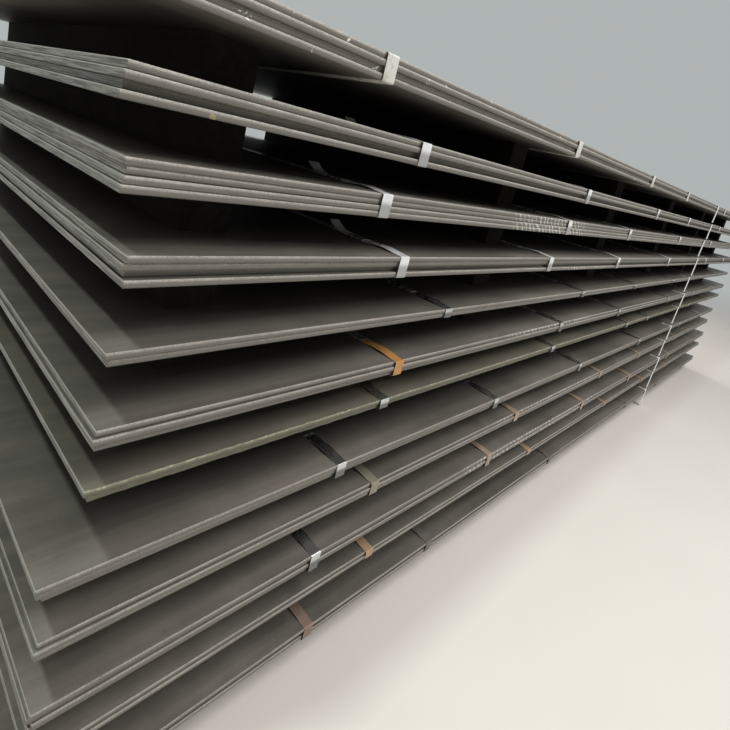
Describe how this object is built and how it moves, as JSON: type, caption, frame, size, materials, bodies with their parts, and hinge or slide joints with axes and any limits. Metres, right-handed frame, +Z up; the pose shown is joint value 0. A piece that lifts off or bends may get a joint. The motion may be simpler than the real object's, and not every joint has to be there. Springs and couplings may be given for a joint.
{
  "type": "steel plate stack",
  "caption": "Free-standing stack of flat hot-rolled steel plates in strapped bundles, kept apart by timber spacers, with open gaps for forks or slings.",
  "frame": {"origin": "on the floor under the middle of the stack", "axes": "+Z up; X along the plates, the near end at -X; the labelled long side faces -Y"},
  "size_m": [6.069, 1.5194, 1.6003],
  "materials": {
    "mill_scale_plate": "dark grey-brown mill scale, satin, with worn brighter edges",
    "blued_strap": "blued strapping, satin, bright where it bends",
    "lacquered_strap": "tan lacquered strapping, thinly rusted",
    "seal_steel": "dull zinc-grey crimped sheet",
    "spacer_timber": "rough sawn, old and dark",
    "label_film": "plain white film, bare"
  },
  "bodies": {
    "root": {"plates_01": "mill_scale_plate", "straps_01": "blued_strap", "seals_01": "seal_steel", "spacers_01": "spacer_timber", "plates_02": "mill_scale_plate", "straps_02": "blued_strap", "seals_02": "seal_steel", "spacers_02": "spacer_timber", "plates_03": "mill_scale_plate", "straps_03": "blued_strap", "seals_03": "seal_steel", "spacers_03": "spacer_timber", "plates_04": "mill_scale_plate", "straps_04": "blued_strap", "seals_04": "seal_steel", "spacers_04": "spacer_timber", "plates_05": "mill_scale_plate", "straps_05": "blued_strap", "seals_05": "seal_steel", "spacers_05": "spacer_timber", "plates_06": "mill_scale_plate", "straps_06": "lacquered_strap", "seals_06": "seal_steel", "spacers_06": "spacer_timber", "plates_07": "mill_scale_plate", "straps_07": "blued_strap", "seals_07": "seal_steel", "spacers_07": "spacer_timber", "plates_08": "mill_scale_plate", "straps_08": "blued_strap", "seals_08": "seal_steel", "spacers_08": "spacer_timber", "plates_09": "mill_scale_plate", "straps_09": "lacquered_strap", "seals_09": "seal_steel", "spacers_09": "spacer_timber", "plates_10": "mill_scale_plate", "straps_10": "lacquered_strap", "seals_10": "seal_steel", "spacers_10": "spacer_timber", "plates_11": "mill_scale_plate", "straps_11": "lacquered_strap", "seals_11": "seal_steel", "spacers_11": "spacer_timber", "plates_12": "mill_scale_plate", "straps_12": "lacquered_strap", "seals_12": "seal_steel", "spacers_12": "spacer_timber", "label_strips": "label_film"}
  },
  "joints": []
}
